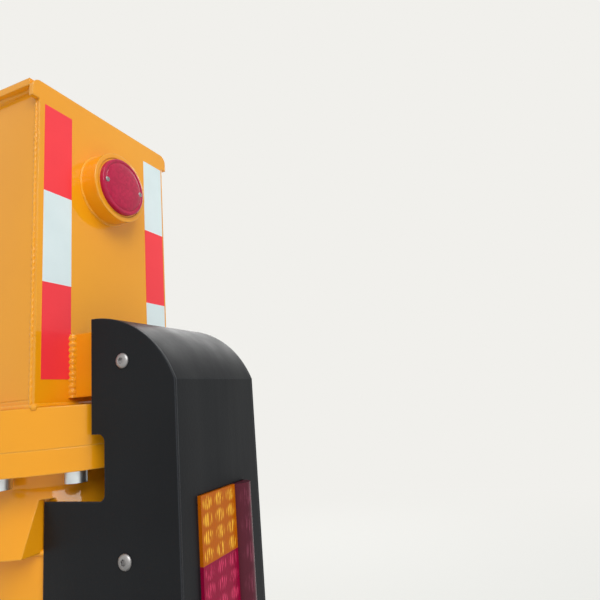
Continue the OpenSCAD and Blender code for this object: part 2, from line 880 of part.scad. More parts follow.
// Ear on the beam's inner side for the rod's pin, with the pin's end in it
module rod_ear(z0, head_z) {
  color(PAINT)
    on_pivot() {
      translate([0, 0, z0])
        linear_extrude(ear_t)
          polygon([
            [cyl_rod_x - ear_root_w, half_w], [cyl_rod_x + ear_root_w, half_w],
            [cyl_rod_x + eye_r, cyl_rod_y], [cyl_rod_x - eye_r, cyl_rod_y]
          ]);
      translate([cyl_rod_x, cyl_rod_y, z0]) cylinder(r = eye_r, h = ear_t);
      translate([cyl_rod_x, cyl_rod_y, head_z]) cylinder(r = cyl_pin_r + 8, h = 8);
    }
}

module rod_ear_top() rod_ear(ear_z, ear_z + ear_t);

module rod_ear_bottom() rod_ear(-ear_z - ear_t, -ear_z - ear_t - 8);

module leg_tube() {
  color(CHROME)
    jack_ring(leg_foot_z + leg_cap_t, leg_head_z - leg_foot_z - leg_cap_t, leg_r, leg_r - leg_wall);
}

// Guide ring that runs in the outer tube
module leg_guide() {
  color(BRONZE)
    jack_ring(guide_top_z - guide_h, guide_h, jack_bore_r - slide_fit, leg_r + weld_gap);
}

module leg_foot() {
  color(CHROME)
    on_pivot()
      translate([jack_x, jack_y, 0]) {
        translate([0, 0, leg_foot_z]) cylinder(r = leg_r, h = leg_cap_t, $fn = FINE);
        translate([0, 0, ball_z]) cylinder(r = neck_r, h = leg_foot_z - ball_z + 1);
        translate([0, 0, ball_z]) sphere(r = ball_r);
      }
}

module foot_ring() {
  color(ZINC) jack_ring(ring_top_z - ring_t, ring_t, ring_r, ring_bore_r);
}

module foot_sole() {
  top = ring_top_z - ring_t;
  color(ZINC)
    on_pivot()
      translate([jack_x, jack_y, 0])
        difference() {
          rotate_extrude($fn = FINE)
            polygon([
              [0, sole_z], [foot_r, sole_z], [foot_r, sole_z + sole_t],
              [ring_r + 14, top - 22], [ring_r, top - 12], [ring_r, top], [0, top]
            ]);
          translate([0, 0, ball_z]) sphere(r = ball_r + slide_fit);
        }
}

module swing_barrel() {
  color(BLACK)
    on_cylinder()
      difference() {
        union() {
          translate([0, 0, -eye_h / 2]) cylinder(r = eye_r, h = eye_h);
          translate([0, -eye_r * 0.7, -eye_h / 2]) cube([barrel_start + 4, eye_r * 1.4, eye_h]);
          translate([barrel_start, 0, 0]) rotate([0, 90, 0]) cylinder(r = barrel_r, h = barrel_l - barrel_start);
        }
        translate([0, 0, -eye_h]) cylinder(r = cyl_pin_r + pin_fit, h = 2 * eye_h);
        translate([barrel_start + 20, 0, 0])
          rotate([0, 90, 0]) cylinder(r = barrel_r - barrel_wall, h = barrel_l);
      }
}

module swing_gland() {
  color(BLACK)
    on_cylinder()
      translate([barrel_l, 0, 0])
        rotate([0, 90, 0])
          difference() {
            cylinder(r = barrel_r - 2, h = gland_l);
            translate([0, 0, -1]) cylinder(r = rod_r + slide_fit, h = gland_l + 2);
          }
}

module swing_rod() {
  color(CHROME)
    on_cylinder() {
      translate([piston_x, 0, 0]) rotate([0, 90, 0]) cylinder(r = rod_r, h = cyl_len - piston_x);
      translate([piston_x, 0, 0])
        rotate([0, 90, 0]) cylinder(r = barrel_r - barrel_wall - slide_fit, h = piston_l);
      translate([cyl_len, 0, -eye_h / 2]) cylinder(r = eye_r, h = eye_h);
    }
}

base_plate();
lug_top();
lug_bottom();
gusset_top();
gusset_bottom();
pivot_pin();
cyl_ear_top();
cyl_ear_bottom();
cyl_pin();
side_outer();
side_inner();
top_plate();
bottom_plate();
end_plate();
hub_tube();
hub_bush_top();
hub_bush_bottom();
beam_flange();
leg_flange();
jack_collar();
jack_tube();
jack_sleeve();
jack_gland();
reflector_cup();
reflector_lens();
guard_stay_upper();
guard_stay_lower();
guard_side_outer();
guard_side_inner();
guard_back();
lamp_housing();
lamp_amber();
lamp_red();
lamp_clear();
lamp_strip();
pipe_front();
pipe_rear();
jack_hose();
hose_port();
hose_union();
rod_ear_top();
rod_ear_bottom();
leg_tube();
leg_guide();
leg_foot();
foot_ring();
foot_sole();
swing_barrel();
swing_gland();
swing_rod();
for (i = [1:8])
  flange_bolt(i - 1);
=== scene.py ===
import math

import bmesh
import bpy
from mathutils import Matrix, Vector


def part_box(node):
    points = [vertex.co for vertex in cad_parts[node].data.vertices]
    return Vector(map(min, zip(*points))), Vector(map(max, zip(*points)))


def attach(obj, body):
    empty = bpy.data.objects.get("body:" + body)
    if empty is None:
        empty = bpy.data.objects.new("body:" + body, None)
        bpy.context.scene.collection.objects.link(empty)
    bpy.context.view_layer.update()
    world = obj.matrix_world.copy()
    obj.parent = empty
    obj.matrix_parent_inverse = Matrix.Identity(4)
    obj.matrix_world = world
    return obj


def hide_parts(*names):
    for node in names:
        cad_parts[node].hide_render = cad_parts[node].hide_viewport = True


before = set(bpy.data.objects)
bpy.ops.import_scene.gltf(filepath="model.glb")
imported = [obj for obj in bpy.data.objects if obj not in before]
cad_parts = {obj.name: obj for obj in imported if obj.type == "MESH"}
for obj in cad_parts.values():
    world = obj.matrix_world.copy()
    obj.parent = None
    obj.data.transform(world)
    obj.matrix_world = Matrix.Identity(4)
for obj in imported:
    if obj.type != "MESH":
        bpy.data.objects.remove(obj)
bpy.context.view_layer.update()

scene = bpy.context.scene
scene.view_settings.view_transform = "Standard"

# The viewpoint: a wide lens at the height of the lamp guard, behind the leg and a little outside
# it, tipped up slightly, in the photograph's square frame. Near and far are equally sharp.
camera = bpy.data.objects.new("viewpoint", bpy.data.cameras.new("viewpoint"))
scene.collection.objects.link(camera)
scene.camera = camera
camera.data.lens = 30.45
camera.data.sensor_width = 36
camera.data.clip_end = 200
lens_right = Vector((0.9158, 0.3935, -0.0804))
lens_up = Vector((0.1477, -0.1437, 0.9785))
lens_back = Vector((0.3735, -0.9080, -0.1898))
lens_turn = Matrix((lens_right, lens_up, lens_back)).transposed().to_quaternion()
camera.matrix_world = Matrix.LocRotScale(Vector((3.4090, -0.8163, -0.2454)), lens_turn, None)


def linear(code):
    """The linear colour of an sRGB hex value."""
    parts = [int(code[i:i + 2], 16) / 255 for i in (1, 3, 5)]
    return [p / 12.92 if p <= 0.04045 else ((p + 0.055) / 1.055) ** 2.4 for p in parts] + [1.0]


def node(owner, kind, links=None, **settings):
    """Adds a node to a material or world, sets it, and links or fills its inputs."""
    made = owner.node_tree.nodes.new(kind)
    for name, value in settings.items():
        setattr(made, name, value)
    for socket, source in (links or {}).items():
        if isinstance(source, bpy.types.NodeSocket):
            owner.node_tree.links.new(source, made.inputs[socket])
        else:
            made.inputs[socket].default_value = source
    return made


# The floor: pale smooth screed, as far below the leg as the foot reaches at full stroke. Away from
# the object it turns into the plain backdrop's own colour, to the eye and in reflections.
floor_z = -1.672
floor_half = 40
floor_middle = (2.2, -0.1, floor_z)
fade_start = 1.5
fade_end = 7.0
backdrop_code = "#F1F0EC"
floor_mesh = bpy.data.meshes.new("floor")
floor_mesh.from_pydata([(x * floor_half, y * floor_half, floor_z)
                        for x, y in ((-1, -1), (1, -1), (1, 1), (-1, 1))], [], [(0, 1, 2, 3)])
floor = bpy.data.objects.new("floor", floor_mesh)
scene.collection.objects.link(floor)
# Trowelled screed: a dead matte, even grey-white that shows nothing but the object's soft shadow.
screed = bpy.data.materials.new("pale screed")
screed.use_nodes = True
screed_shader = screed.node_tree.nodes["Principled BSDF"]
screed_shader.inputs["Base Color"].default_value = linear("#E4E2DC")
screed_shader.inputs["Roughness"].default_value = 0.9
spot_on_floor = node(screed, "ShaderNodeTexCoord").outputs["Object"]
from_middle = node(screed, "ShaderNodeVectorMath", {0: spot_on_floor, 1: floor_middle},
                   operation="DISTANCE")
faded = node(screed, "ShaderNodeMapRange", {"Value": from_middle.outputs["Value"],
                                            "From Min": fade_start, "From Max": fade_end},
             interpolation_type="SMOOTHSTEP")
glow_of_floor = node(screed, "ShaderNodeEmission", {"Color": linear(backdrop_code)})
floor_ray = node(screed, "ShaderNodeLightPath")
floor_seen = node(screed, "ShaderNodeMath", {0: floor_ray.outputs["Is Camera Ray"],
                                             1: floor_ray.outputs["Is Transmission Ray"]},
                  operation="MAXIMUM")
floor_shown = node(screed, "ShaderNodeMath", {0: floor_seen.outputs[0],
                                              1: floor_ray.outputs["Is Glossy Ray"]},
                   operation="MAXIMUM")
shown = node(screed, "ShaderNodeMath", {0: faded.outputs[0], 1: floor_shown.outputs[0]},
             operation="MULTIPLY")
both = node(screed, "ShaderNodeMixShader", {0: shown.outputs[0], 1: screed_shader.outputs[0],
                                            2: glow_of_floor.outputs[0]})
screed.node_tree.links.new(both.outputs[0], screed.node_tree.nodes["Material Output"].inputs["Surface"])
floor_mesh.materials.append(screed)

# Daylight: an even bright sky, paler overhead, with one wide soft lamp over the rear left corner
# and a weaker one that opens up the shade on the inner side.
sky = bpy.data.worlds.new("sky")
scene.world = sky
sky.use_nodes = True
backdrop = sky.node_tree.nodes["Background"]
ray = node(sky, "ShaderNodeLightPath")
towards = node(sky, "ShaderNodeTexCoord")
height = node(sky, "ShaderNodeSeparateXYZ", {0: towards.outputs["Generated"]})
rise = node(sky, "ShaderNodeMapRange", {"Value": height.outputs["Z"], "From Min": -0.2, "From Max": 0.7})
sky_colour = node(sky, "ShaderNodeMix", {0: rise.outputs[0], 6: linear("#A2A8AC"), 7: linear("#CDD2D6")},
                  data_type="RGBA")
through = node(sky, "ShaderNodeMath", {0: ray.outputs["Is Camera Ray"],
                                       1: ray.outputs["Is Transmission Ray"]},
               operation="MAXIMUM")
in_view = node(sky, "ShaderNodeMath", {0: through.outputs[0], 1: ray.outputs["Is Glossy Ray"]},
               operation="MAXIMUM")
seen = node(sky, "ShaderNodeMix", {0: in_view.outputs[0], 6: sky_colour.outputs[2],
                                   7: linear(backdrop_code)},
            data_type="RGBA")
sky.node_tree.links.new(seen.outputs[2], backdrop.inputs["Color"])
backdrop.inputs["Strength"].default_value = 1.0
lit_spot = Vector((2.2, -0.2, -0.2))
# Each lamp: its name, where it hangs, its width in metres and its power in watts.
for lamp_name, lamp_at, lamp_size, lamp_power in (
        ("soft_lamp", (7.0, -3.6, 4.2), 5.0, 340),
        ("fill_lamp", (0.4, 6.5, 3.0), 5.0, 210)):
    lamp = bpy.data.lights.new(lamp_name, "AREA")
    lamp.size = lamp_size
    lamp.energy = lamp_power
    lamp_object = bpy.data.objects.new(lamp_name, lamp)
    scene.collection.objects.link(lamp_object)
    lamp_object.location = lamp_at
    aim = lit_spot - lamp_object.location
    lamp_object.rotation_euler = aim.to_track_quat("-Z", "Y").to_euler()

# The chassis bracket: a bolted plate with lugs, gussets and ears, flame-cut from thick steel plate.
# They are fillet-welded together and then sprayed in one go with yellow two-pack enamel.
plate_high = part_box("base_plate")[1]
lug_low, lug_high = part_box("lug_top")
gusset_low, gusset_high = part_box("gusset_top")
ear_low, ear_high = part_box("cyl_ear_top")


def enamel(name, body, shade, edge, roughness, peel, gloss, under):
    """Sprayed enamel on steel: cloudy colour, dull dusty runs, orange peel, and plate edges painted paler,
    partly thin paint and partly a painted highlight. gloss is the share of clear wet shine on top, and
    under the shine of the colour below it."""
    finish = bpy.data.materials.new(name)
    finish.use_nodes = True
    shader = finish.node_tree.nodes["Principled BSDF"]
    place = node(finish, "ShaderNodeTexCoord").outputs["Object"]
    # The spray gun's passes leave clouds about 300 mm across.
    clouds = node(finish, "ShaderNodeTexNoise", {"Vector": place, "Scale": 1 / 0.300, "Detail": 4.0})
    spread = node(finish, "ShaderNodeMapRange", {"Value": clouds.outputs[0], "From Min": 0.35,
                                                 "From Max": 0.65})
    tone = node(finish, "ShaderNodeMix", {0: spread.outputs[0], 6: linear(body), 7: linear(shade)},
                data_type="RGBA")
    # Paint draws back from a cut edge over 3 mm, and looks paler there. The paler colour is also a
    # painted highlight, standing in for the light that edges catch.
    soft_edge = node(finish, "ShaderNodeBevel", {"Radius": 0.003}, samples=4)
    true_face = node(finish, "ShaderNodeNewGeometry")
    turned = node(finish, "ShaderNodeVectorMath", {0: soft_edge.outputs[0],
                                                   1: true_face.outputs["Normal"]},
                  operation="DOT_PRODUCT")
    near_edge = node(finish, "ShaderNodeMapRange", {"Value": turned.outputs["Value"], "From Min": 0.995,
                                                    "From Max": 0.90, "To Max": 0.55})
    edge_wear_and_highlight = node(finish, "ShaderNodeMix", {0: near_edge.outputs[0], 6: tone.outputs[2], 7: linear(edge)},
                data_type="RGBA")
    finish.node_tree.links.new(edge_wear_and_highlight.outputs[2], shader.inputs["Base Color"])
    # Rain and dust dry in upright runs 50 mm wide and 600 mm long.
    stretch = node(finish, "ShaderNodeMapping", {"Vector": place, "Scale": (1 / 0.05, 1 / 0.05, 1 / 0.6)})
    runs = node(finish, "ShaderNodeTexNoise", {"Vector": stretch.outputs[0], "Scale": 1.0, "Detail": 5.0})
    dull = node(finish, "ShaderNodeMapRange", {"Value": runs.outputs[0], "From Min": 0.3, "From Max": 0.75,
                                               "To Min": roughness - 0.05, "To Max": roughness + 0.12})
    finish.node_tree.links.new(dull.outputs[0], shader.inputs["Roughness"])
    shader.inputs["Specular IOR Level"].default_value = under
    shader.inputs["Coat Weight"].default_value = gloss
    shader.inputs["Coat Roughness"].default_value = 0.06
    # Orange peel: dimples 4 mm apart, about twice the real size, so that they show.
    orange = node(finish, "ShaderNodeTexNoise", {"Vector": place, "Scale": 1 / 0.004, "Detail": 2.0})
    bumps = node(finish, "ShaderNodeBump", {"Height": orange.outputs[0], "Strength": peel,
                                            "Distance": 0.0003, "Normal": soft_edge.outputs[0]})
    finish.node_tree.links.new(bumps.outputs[0], shader.inputs["Normal"])
    finish.node_tree.links.new(bumps.outputs[0], shader.inputs["Coat Normal"])
    return finish


def coat(finish, *names):
    """Gives CAD nodes their finish."""
    for name in names:
        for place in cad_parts[name].material_slots:
            place.material = finish


def settle(name, body, slot, mesh, *finishes, smooth=True):
    """Makes a piece of a filled bmesh, gives it its finishes, and lets it ride on its body."""
    data = bpy.data.meshes.new(name)
    bmesh.ops.recalc_face_normals(mesh, faces=mesh.faces)
    mesh.to_mesh(data)
    mesh.free()
    for finish in finishes:
        data.materials.append(finish)
    if smooth:
        data.shade_smooth()
        data.set_sharp_from_angle(angle=math.radians(40))
    made = bpy.data.objects.new(name, data)
    scene.collection.objects.link(made)
    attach(made, body)
    return made


def straight(start, end, out, step=0.003):
    """A straight run of weld: points with the tangent and the outward direction of the bead."""
    start, end = Vector(start), Vector(end)
    steps = max(2, round((end - start).length / step))
    along = (end - start).normalized()
    return [(start.lerp(end, i / steps), along, Vector(out).normalized()) for i in range(steps + 1)]


def circle_run(centre, radius, axis, lean, turn=(0, 360), step=0.003):
    """A run of weld round a tube: lean tips the bead's outward direction along the axis."""
    axis = Vector(axis).normalized()
    across = axis.orthogonal().normalized()
    if abs(axis.z) > 0.9:
        across = Vector((1, 0, 0))
    upward = axis.cross(across)
    steps = max(8, round(math.radians(turn[1] - turn[0]) * radius / step))
    run = []
    for i in range(steps + 1):
        angle = math.radians(turn[0] + (turn[1] - turn[0]) * i / steps)
        radial = across * math.cos(angle) + upward * math.sin(angle)
        along = upward * math.cos(angle) - across * math.sin(angle)
        run.append((Vector(centre) + radial * radius, along, (radial + axis * lean).normalized()))
    return run


def weld(name, body, runs, throat=0.0055, pitch=0.009, depth=0.16, trail=0.45):
    """Fillet weld: a bead with the curved ripples that each stop of the arc leaves. depth is how
    deep the ripples cut, and trail how far they bow, as shares of the throat and of the pitch."""
    sides = 8
    mesh = bmesh.new()
    for run in runs:
        length = 0.0
        rings = []
        for i, (point, along, out) in enumerate(run):
            if i:
                length += (point - run[i - 1][0]).length
            side = along.cross(out).normalized()
            ring = []
            for k in range(sides):
                angle = 2 * math.pi * k / sides
                lag = length - trail * pitch * (1 - math.cos(angle))
                ripple = (lag / pitch) % 1.0
                unsteady = 0.04 * math.sin(length * 61 + k)
                radius = throat * (1.02 - depth + depth * math.sin(math.pi * ripple) + unsteady)
                spoke = out * math.cos(angle) + side * math.sin(angle)
                ring.append(mesh.verts.new(point + spoke * radius))
            rings.append(ring)
        closed = (run[0][0] - run[-1][0]).length < 1e-4
        if closed:
            for vert in rings.pop():
                mesh.verts.remove(vert)
        for i in range(len(rings) - (0 if closed else 1)):
            here, there = rings[i], rings[(i + 1) % len(rings)]
            for k in range(sides):
                after = (k + 1) % sides
                mesh.faces.new((here[k], here[after], there[after], there[k]))
        if not closed:
            mesh.faces.new(rings[0][::-1])
            mesh.faces.new(rings[-1])
    return settle(name, body, "paint", mesh, yellow)


# Two-pack enamel: a deep warm yellow under a wet gloss that mirrors the sky, softly rippled. Its
# paler edges are partly thin paint and partly a painted highlight.
yellow = enamel("two_pack_enamel_yellow", "#F0A012", "#EB9A10", "#F6B540", 0.36, 0.12, 0.85, under=0.05)
coat(yellow, "base_plate", "lug_top", "lug_bottom", "gusset_top", "gusset_bottom",
     "cyl_ear_top", "cyl_ear_bottom")
lug_runs = []
for side in (1, -1):
    for z, lean in ((lug_low.z, -1), (lug_high.z, 1)):
        lug_runs.append(straight((plate_high.x, lug_low.y, side * z),
                                 (plate_high.x, lug_high.y, side * z), (1, 0, side * lean)))
    for y, lean in ((gusset_low.y, -1), (gusset_high.y, 1)):
        lug_runs.append(straight((plate_high.x, y, side * gusset_low.z),
                                 (plate_high.x, y, side * gusset_high.z), (1, lean, 0)))
        lug_runs.append(straight((plate_high.x, y, side * gusset_low.z),
                                 (gusset_high.x, y, side * gusset_low.z), (0, lean, side)))
    for z, lean in ((ear_low.z, -1), (ear_high.z, 1)):
        lug_runs.append(straight((plate_high.x, ear_low.y, side * z),
                                 (plate_high.x, ear_high.y, side * z), (1, 0, side * lean)))
weld("bracket_welds", "bracket", lug_runs, throat=0.008, pitch=0.012)

# The pivot: a ground steel pin, held by cap screws in its head, through two bronze bushes pressed
# into the arm's hub. Grease goes in at the nipple, and there is one on the swing cylinder's pin too.
pin_low, pin_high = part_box("pivot_pin")
ear_pin_low, ear_pin_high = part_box("cyl_pin")
pin_at = Vector(((pin_low.x + pin_high.x) / 2, (pin_low.y + pin_high.y) / 2, pin_high.z))
ear_pin_at = Vector(((ear_pin_low.x + ear_pin_high.x) / 2, (ear_pin_low.y + ear_pin_high.y) / 2,
                     ear_pin_high.z))
cap_screw_r = 0.058


def bright(name, body, roughness, grain, stretch, wear, relief=0.25, blotch=1.0):
    """Bare or plated metal: a smeared sheen, and lines or specks grain metres apart, longer where
    stretch is small. relief is how deep they are, and blotch how uneven the sheen is."""
    finish = bpy.data.materials.new(name)
    finish.use_nodes = True
    shader = finish.node_tree.nodes["Principled BSDF"]
    shader.inputs["Metallic"].default_value = 1.0
    place = node(finish, "ShaderNodeTexCoord").outputs["Object"]
    # Hands and rags leave smears about 40 mm across.
    smear = node(finish, "ShaderNodeTexNoise", {"Vector": place, "Scale": 1 / 0.04, "Detail": 5.0})
    tint = node(finish, "ShaderNodeMapRange", {"Value": smear.outputs[0], "From Min": 0.35,
                                               "From Max": 0.7})
    tone = node(finish, "ShaderNodeMix", {0: tint.outputs[0], 6: linear(body), 7: linear(wear)},
                data_type="RGBA")
    finish.node_tree.links.new(tone.outputs[2], shader.inputs["Base Color"])
    rough = node(finish, "ShaderNodeMapRange", {"Value": smear.outputs[0], "From Min": 0.3, "From Max": 0.7,
                                                "To Min": roughness * (1 - 0.2 * blotch),
                                                "To Max": roughness * (1 + 0.5 * blotch)})
    finish.node_tree.links.new(rough.outputs[0], shader.inputs["Roughness"])
    lines = node(finish, "ShaderNodeMapping", {"Vector": place, "Scale": [s / grain for s in stretch]})
    marks = node(finish, "ShaderNodeTexNoise", {"Vector": lines.outputs[0], "Scale": 1.0, "Detail": 3.0})
    soft_edge = node(finish, "ShaderNodeBevel", {"Radius": 0.001}, samples=4)
    bumps = node(finish, "ShaderNodeBump", {"Height": marks.outputs[0], "Strength": relief,
                                            "Distance": 0.0003, "Normal": soft_edge.outputs[0]})
    finish.node_tree.links.new(bumps.outputs[0], shader.inputs["Normal"])
    return finish


def turn_up(mesh, at, axis, profile, count=24):
    """Adds a turned solid: (radius, height) pairs in millimetres from its root out, where a pair
    with a third number is a ring with that many flats."""
    axis = Vector(axis).normalized()
    across = axis.orthogonal().normalized()
    upward = axis.cross(across)
    rings = []
    for radius, height_mm, *flats in profile:
        ring = []
        for k in range(count):
            angle = 2 * math.pi * k / count
            reach = radius / 1000
            if flats:
                half = math.pi / flats[0]
                reach /= math.cos(angle % (2 * half) - half)
            spoke = across * math.cos(angle) + upward * math.sin(angle)
            ring.append(mesh.verts.new(Vector(at) + axis * height_mm / 1000 + spoke * reach))
        rings.append(ring)
    for here, there in zip(rings, rings[1:]):
        for k in range(count):
            mesh.faces.new((here[k], here[(k + 1) % count], there[(k + 1) % count], there[k]))
    mesh.faces.new(rings[0][::-1])
    mesh.faces.new(rings[-1])


# Ground steel: a grey satin sheen. Its grinding lines, 3 mm apart, are drawn coarse to show.
ground_steel = bright("ground_steel", "#8E9296", 0.30, 0.003, (1, 1, 0.2), "#6E6A64")
coat(ground_steel, "pivot_pin", "cyl_pin")
# Cast bronze: warm brown-gold, duller where grease has sat. Its grain is drawn 2 mm wide to show.
bronze = bright("cast_bronze", "#A97C3B", 0.34, 0.002, (1, 1, 1), "#8A6430")
coat(bronze, "hub_bush_top", "hub_bush_bottom", "leg_guide")
# Bright zinc plating: a cool, near-white sparkle. Its fine grain is drawn 1.5 mm wide to show.
zinc = bright("zinc_plated_steel", "#E4EAED", 0.32, 0.0015, (1, 1, 1), "#CAD2D6")
nipple = [(5, -1), (5, 5), (3, 6), (3, 9), (4, 10.5), (2.4, 13)]
nipples = bmesh.new()
for at in (pin_at, ear_pin_at):
    turn_up(nipples, at, (0, 0, 1), nipple, 16)
settle("grease_nipples", "bracket", "zinc", nipples, zinc)
cap_screws = bmesh.new()
for turn in range(0, 360, 60):
    spoke = Vector((math.cos(math.radians(turn)), math.sin(math.radians(turn)), 0))
    turn_up(cap_screws, pin_at + spoke * cap_screw_r, (0, 0, 1),
            [(9, -1), (9, 9), (8, 10), (5, 10, 6), (5, 5, 6)])
settle("pin_head_screws", "bracket", "zinc", cap_screws, zinc)

# The beam: four plates of structural steel round the hub tube, closed at the rear by the end plate.
# The long seams are fillet welds under the overhang of the top and bottom plates, and a flat bead
# runs up each side of the end plate.
coat(yellow, "side_outer", "side_inner", "top_plate", "bottom_plate", "end_plate", "hub_tube")
side_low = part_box("side_outer")[0]
inner_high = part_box("side_inner")[1]
top_low, top_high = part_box("top_plate")
bottom_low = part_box("bottom_plate")[0]
end_low, end_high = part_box("end_plate")
flange_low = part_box("beam_flange")[0]
pivot_low, pivot_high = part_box("hub_tube")
pivot = (pivot_low + pivot_high) / 2
hub_r = (pivot_high.x - pivot_low.x) / 2
skin = top_high.z - top_low.z
# The bottom plate rises between these two distances from the pivot, to the foot of the end box.
taper_start = 0.900
taper_end = 1.900
foot_of_box = -0.228
rise_from = Vector((pivot.x + taper_start, 0, bottom_low.z + skin))
rise_to = Vector((pivot.x + taper_end, 0, foot_of_box + skin))
beam_runs = []
for y, lean in ((side_low.y, -1), (inner_high.y, 1)):
    stations = [Vector((pivot.x + hub_r, y, rise_from.z)), Vector((rise_from.x, y, rise_from.z)),
                Vector((rise_to.x, y, rise_to.z)), Vector((flange_low.x, y, rise_to.z))]
    beam_runs.append(straight((pivot.x + hub_r, y, top_low.z), (end_low.x, y, top_low.z), (0, lean, -1)))
    for start, end in zip(stations, stations[1:]):
        beam_runs.append(straight(start, end, (0, lean, 1)))
weld("beam_seam_welds", "arm", beam_runs)
hub_front = (100, 260)
weld("hub_welds", "arm", [
    circle_run((pivot.x, pivot.y, top_low.z), hub_r, (0, 0, 1), -1, hub_front),
    circle_run((pivot.x, pivot.y, rise_from.z), hub_r, (0, 0, 1), 1, hub_front),
], throat=0.007)
# The beads of the end box are sunk a little into the plates, so that they lie in their corners.
bead_z = foot_of_box + 0.0015
wing_h = 0.032
seam_sunk = 0.0012
weld("end_seam_welds", "arm", [
    straight((end_low.x, y, bead_z), (end_low.x, y, end_high.z - wing_h), (0, out, 0), step=0.0015)
    for y, out in ((side_low.y + seam_sunk, -1), (inner_high.y - seam_sunk, 1))
], throat=0.0034, pitch=0.010, depth=0.40)

# The two flanges: flame-cut from thick plate and machined flat where they meet. The upper one is
# welded round the foot of the box, round both of its rear corners, and along its own front edge.
coat(yellow, "beam_flange", "leg_flange")
flange_sunk = 0.0028
turn_r = 0.0004
corners = [Vector((end_high.x - flange_sunk, y, bead_z))
           for y in (side_low.y + flange_sunk, inner_high.y - flange_sunk)]
round_box = straight((flange_low.x, corners[0].y, bead_z), corners[0], (0, -1, 1))
round_box += circle_run(corners[0], turn_r, (0, 0, 1), 1, (-90, 0))
round_box += straight(corners[0], corners[1], (1, 0, 1))
round_box += circle_run(corners[1], turn_r, (0, 0, 1), 1, (0, 90))
round_box += straight(corners[1], (flange_low.x, corners[1].y, bead_z), (0, 1, 1))
weld("flange_welds", "arm", [
    round_box,
    straight((flange_low.x, inner_high.y, foot_of_box), (flange_low.x, side_low.y, foot_of_box),
             (-1, 0, -1)),
], throat=0.0062)

# The flange bolts: forged socket screws with zinc plating, put in from below after painting, so
# they stay bright. They pull the leg's flange up against the beam's.
coat(zinc, *["flange_bolt_%d" % i for i in range(1, 9)])

# The jack's outer tube: thick drawn steel tube, with a flared collar round it under the flange and
# a sleeve round its foot. Both are welded on, and it is sprayed together with the beam.
coat(yellow, "jack_collar", "jack_tube", "jack_sleeve")
tube_low, tube_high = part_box("jack_tube")
collar_low, collar_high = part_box("jack_collar")
sleeve_low, sleeve_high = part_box("jack_sleeve")
jack = (tube_low + tube_high) / 2
tube_r = (tube_high.y - tube_low.y) / 2
sleeve_r = (sleeve_high.y - sleeve_low.y) / 2
# Each weld: its height, how far it lies outside the tube, and whether it faces up or down.
weld("jack_welds", "arm", [
    circle_run((jack.x, jack.y, z), tube_r + off, (0, 0, 1), lean)
    for z, off, lean in ((collar_low.z, 0.001, -1), (collar_high.z, 0.004, -1), (sleeve_high.z, 0.001, 1))
], throat=0.005)

# Warning stripes and label: plastic film, cut on the slant for the stripes, stuck on over the paint
# and wrapped round the jack's tube and sleeve. The label is a plain white field.
film_t = 0.0004


def film(name, colour, shade):
    """Retroreflective film: plastic over moulded cells, drawn 4 mm wide so that they show."""
    finish = bpy.data.materials.new(name)
    finish.use_nodes = True
    shader = finish.node_tree.nodes["Principled BSDF"]
    place = node(finish, "ShaderNodeTexCoord").outputs["Object"]
    cells = node(finish, "ShaderNodeTexVoronoi", {"Vector": place, "Scale": 1 / 0.004, "Randomness": 0.15})
    # Dust settles on the film in patches about 90 mm across.
    sheen = node(finish, "ShaderNodeTexNoise", {"Vector": place, "Scale": 1 / 0.09, "Detail": 4.0})
    blot = node(finish, "ShaderNodeMapRange", {"Value": sheen.outputs[0], "From Min": 0.4, "From Max": 0.7,
                                               "To Max": 0.5})
    tone = node(finish, "ShaderNodeMix", {0: blot.outputs[0], 6: linear(colour), 7: linear(shade)},
                data_type="RGBA")
    finish.node_tree.links.new(tone.outputs[2], shader.inputs["Base Color"])
    shader.inputs["Roughness"].default_value = 0.42
    shader.inputs["Specular IOR Level"].default_value = 0.3
    shader.inputs["Coat Weight"].default_value = 0.25
    shader.inputs["Coat Roughness"].default_value = 0.15
    bumps = node(finish, "ShaderNodeBump", {"Height": cells.outputs["Distance"], "Strength": 0.2,
                                            "Distance": 0.0002})
    finish.node_tree.links.new(bumps.outputs[0], shader.inputs["Normal"])
    return finish


def wrap(mesh, radius, start, turn, top, foot, slant):
    """Adds a patch of film wrapped round the jack: start, turn and slant are in degrees, and slant
    is how far the patch leans round as it goes down."""
    steps = max(4, round(turn / 3))
    rows = []
    for i in range(9):
        row = []
        for lift in (film_t, -film_t / 4):
            for k in range(steps + 1):
                angle = math.radians(start + slant * i / 8 + turn * k / steps)
                reach = radius + lift
                row.append(mesh.verts.new((jack.x + reach * math.cos(angle),
                                           jack.y + reach * math.sin(angle), top + (foot - top) * i / 8)))
        rows.append(row[:steps + 1] + row[steps + 1:][::-1])
    count = 2 * (steps + 1)
    for here, there in zip(rows, rows[1:]):
        for k in range(count):
            mesh.faces.new((here[k], here[(k + 1) % count], there[(k + 1) % count], there[k]))
    mesh.faces.new(rows[0][::-1])
    mesh.faces.new(rows[-1])


# Red film: a clear signal red with a plastic sheen. The stripes' red is deeper and flatter.
red_film = film("red_reflective_film", "#F63640", "#EC2F3C")
stripe_film = film("red_warning_film", "#D02030", "#BE1C2C")
stripes = bmesh.new()
for start in (8, 128, 248):
    wrap(stripes, tube_r, start=start - 5, turn=60, top=sleeve_high.z + 0.035,
         foot=sleeve_high.z + 0.006, slant=4)
    wrap(stripes, sleeve_r, start=start, turn=60, top=sleeve_high.z - 0.003,
         foot=sleeve_low.z + 0.004, slant=18)
settle("warning_stripes", "arm", "paint", stripes, stripe_film)
# Label film: a flat paper-like white that stands out from the yellow.
label_film = film("white_label_film", "#E8EAEA", "#DCDFDF")
label = bmesh.new()
wrap(label, tube_r, start=196, turn=24, top=sleeve_high.z + 0.110, foot=sleeve_high.z + 0.070, slant=0)
settle("blank_label", "arm", "paint", label, label_film)

